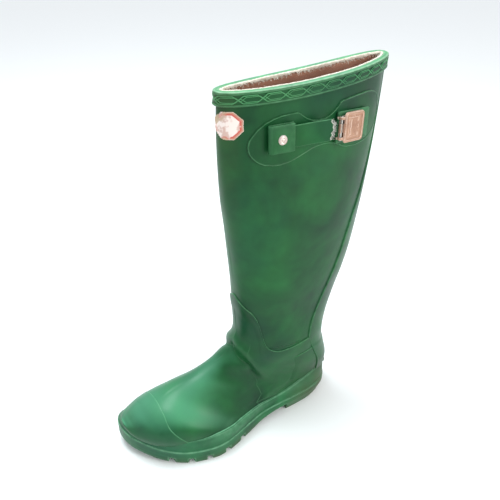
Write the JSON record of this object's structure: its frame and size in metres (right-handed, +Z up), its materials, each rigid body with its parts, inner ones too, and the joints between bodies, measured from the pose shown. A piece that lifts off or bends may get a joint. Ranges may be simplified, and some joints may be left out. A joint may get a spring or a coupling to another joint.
{
  "type": "rubber rain boot",
  "caption": "Tall left rain boot of green moulded rubber with a fabric lining, cleated sole, patterned top band, torn side strap and a hinged plate buckle.",
  "frame": {"origin": "centre of the heel's bottom face, on the ground", "axes": "+X toward the toe, +Y toward the wearer's outer (left) side, +Z up the leg"},
  "size_m": [0.3149, 0.1009, 0.4],
  "materials": {
    "green_rubber": "satin",
    "dark_rubber": "matte",
    "lining_fabric": "matte",
    "footbed_fabric": "matte",
    "filler": "matte",
    "board": "matte",
    "buckle_steel": "worn",
    "pin_steel": "plain",
    "label": "worn"
  },
  "bodies": {
    "boot": {"leg_shell": "green_rubber", "foot_shell": "green_rubber", "lining": "lining_fabric", "top_band": "green_rubber", "back_stay": "green_rubber", "instep_patch": "green_rubber", "heel_counter": "green_rubber", "kick_spur": "dark_rubber", "toe_cap": "green_rubber", "foxing": "dark_rubber", "outsole": "dark_rubber", "heel_block": "dark_rubber", "midsole": "filler", "shank": "pin_steel", "insole_board": "board", "footbed": "footbed_fabric", "front_label": "label", "side_patch": "green_rubber", "strap_tab": "dark_rubber", "strap_root": "green_rubber", "strap_rivet": "buckle_steel", "rivet_washer": "pin_steel", "buckle_tab": "dark_rubber", "buckle_frame": "buckle_steel", "buckle_rivets": "buckle_steel", "buckle_pin": "pin_steel"},
    "strap_flap": {"strap": "green_rubber"},
    "buckle_plate": {"buckle_lever": "buckle_steel"}
  },
  "joints": [
    {"name": "strap_flex", "type": "hinge", "parent": "boot", "child": "strap_flap", "pos_m": [0.04153, 0.03, 0.35924], "axis": [0.0148, 0.121, -0.9925], "range_deg": [0, 55], "stiffness_Nm_per_rad": 0.01},
    {"name": "buckle_hinge", "type": "hinge", "parent": "boot", "child": "buckle_plate", "pos_m": [-0.01023, 0.02994, 0.35574], "axis": [0.0965, 0.142, -0.9851], "range_deg": [0, 110]}
  ]
}
